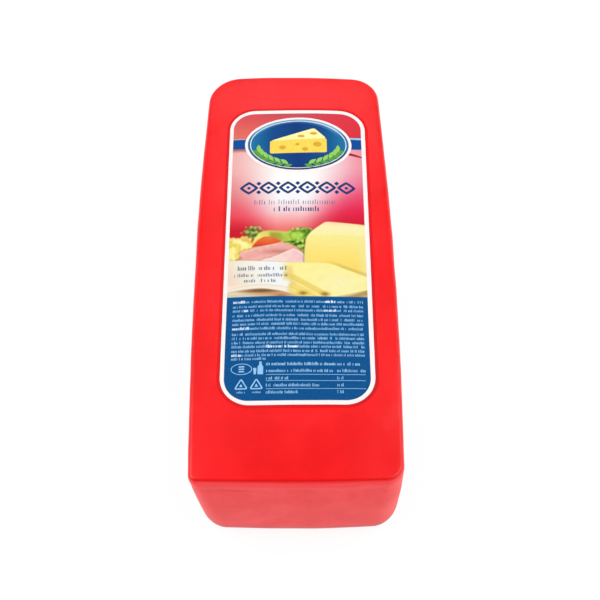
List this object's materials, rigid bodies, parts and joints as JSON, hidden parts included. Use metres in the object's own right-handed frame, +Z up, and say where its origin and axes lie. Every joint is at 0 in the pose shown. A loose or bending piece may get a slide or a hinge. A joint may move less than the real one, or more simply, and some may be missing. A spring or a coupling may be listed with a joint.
{
  "type": "red-coated cheese loaf",
  "caption": "Long rounded block of semi-hard cheese in a smooth red coating, with a rounded printed label on its top; lies on its flat underside and is sliced or kept whole.",
  "frame": {"origin": "centre of the loaf's footprint box, at the level of its flat underside", "axes": "+Z up out of the labelled top, +Y along the loaf's length towards the end with the rounder corners, +X across its width; the label's foot faces -Y"},
  "size_m": [0.1226, 0.2996, 0.0814],
  "materials": {
    "loaf_coating": "smooth, softly glossy red plastic coating, slightly uneven over the cheese below",
    "label_paper": "printed label with a satin varnish"
  },
  "bodies": {
    "root": {"cheese_loaf": "loaf_coating", "label": "label_paper"}
  },
  "joints": []
}
